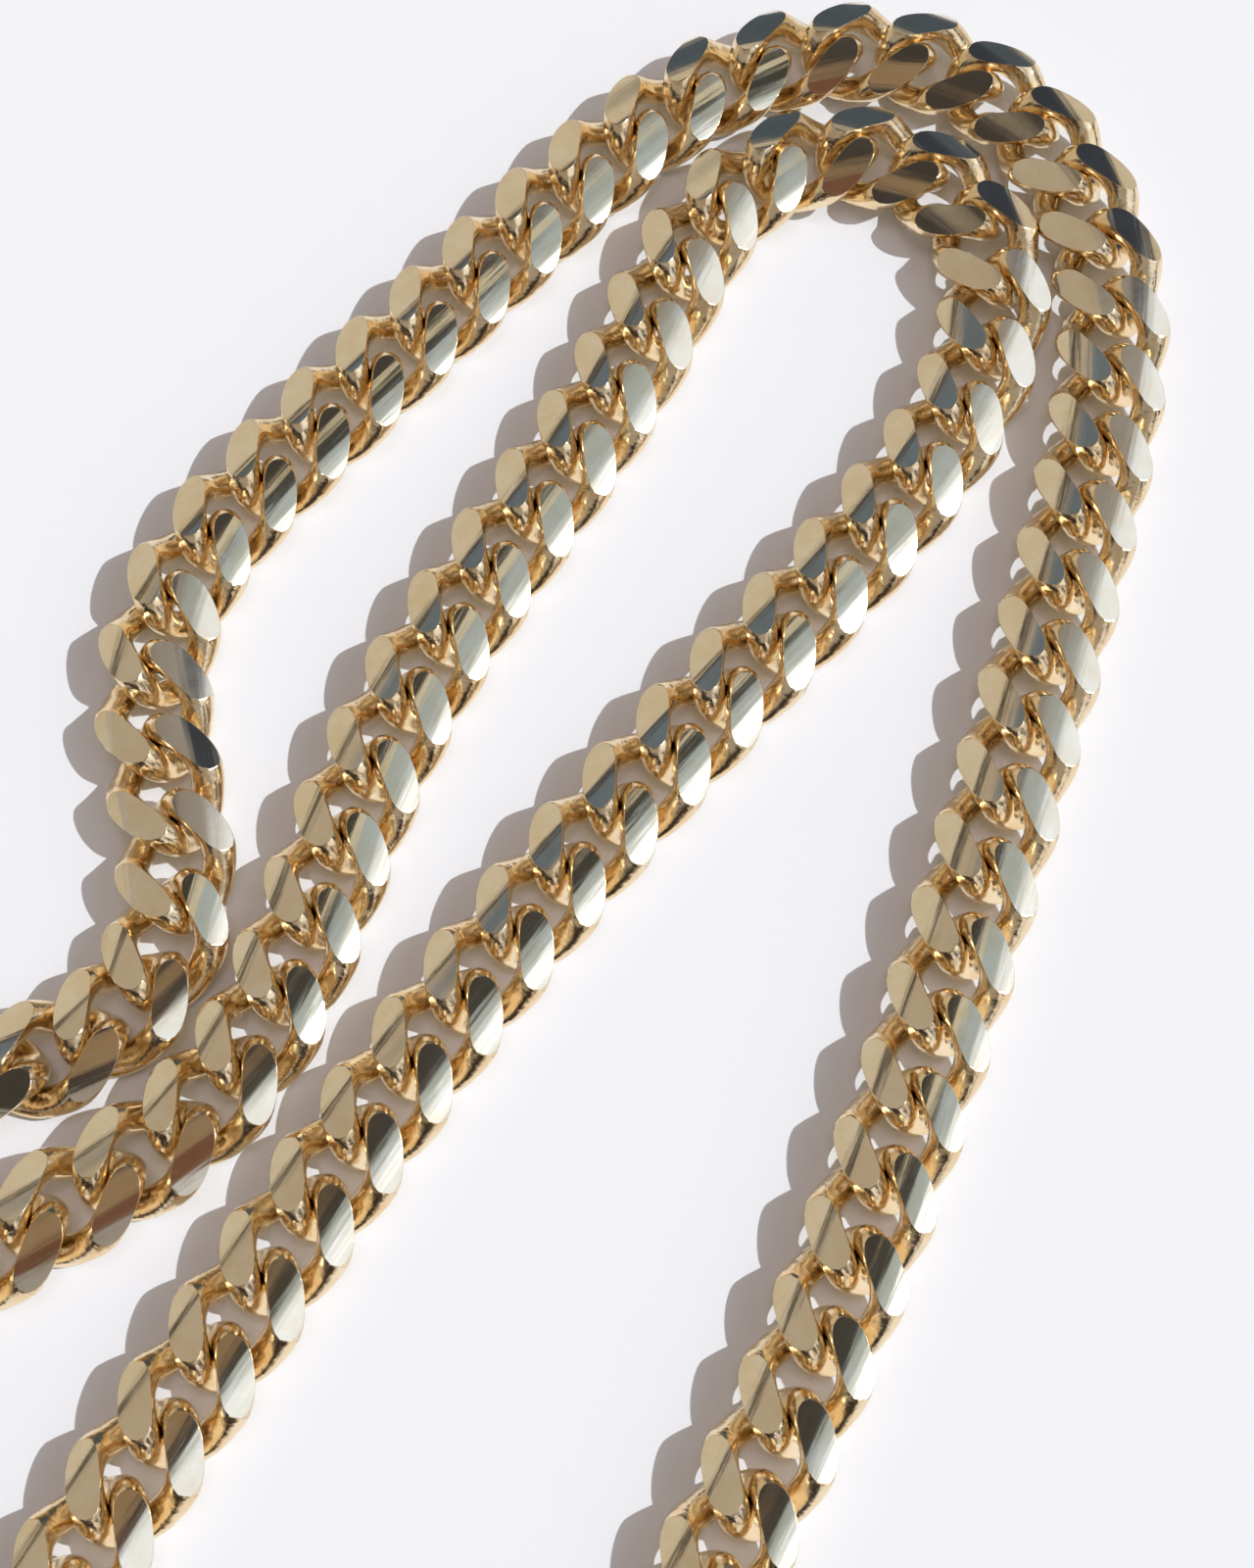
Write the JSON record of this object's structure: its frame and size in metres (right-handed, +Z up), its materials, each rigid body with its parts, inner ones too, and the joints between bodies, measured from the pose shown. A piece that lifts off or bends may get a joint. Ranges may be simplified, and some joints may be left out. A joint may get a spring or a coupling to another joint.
{
  "type": "curb chain necklace",
  "caption": "Diamond-cut curb chain necklace: twisted interlocking links with flat-cut faces and a claw clasp, lying folded as a closed loop.",
  "frame": {"origin": "middle of the laid necklace's outline, on the surface that it rests on", "axes": "+Z up from the surface, +Y along the longer side of the outline, towards the outer bend, +X to the right as the picture shows it"},
  "size_m": [0.1006, 0.142, 0.0051],
  "materials": {
    "cut_links": "gold-plated, polished wire with flat-cut faces that are finely milled",
    "polished_gold": "gold-plated and polished"
  },
  "bodies": {
    "root": {"chain_outer": "cut_links", "chain_inner": "cut_links", "ring_front": "polished_gold", "ring_back": "polished_gold", "clasp": "polished_gold"}
  },
  "joints": []
}
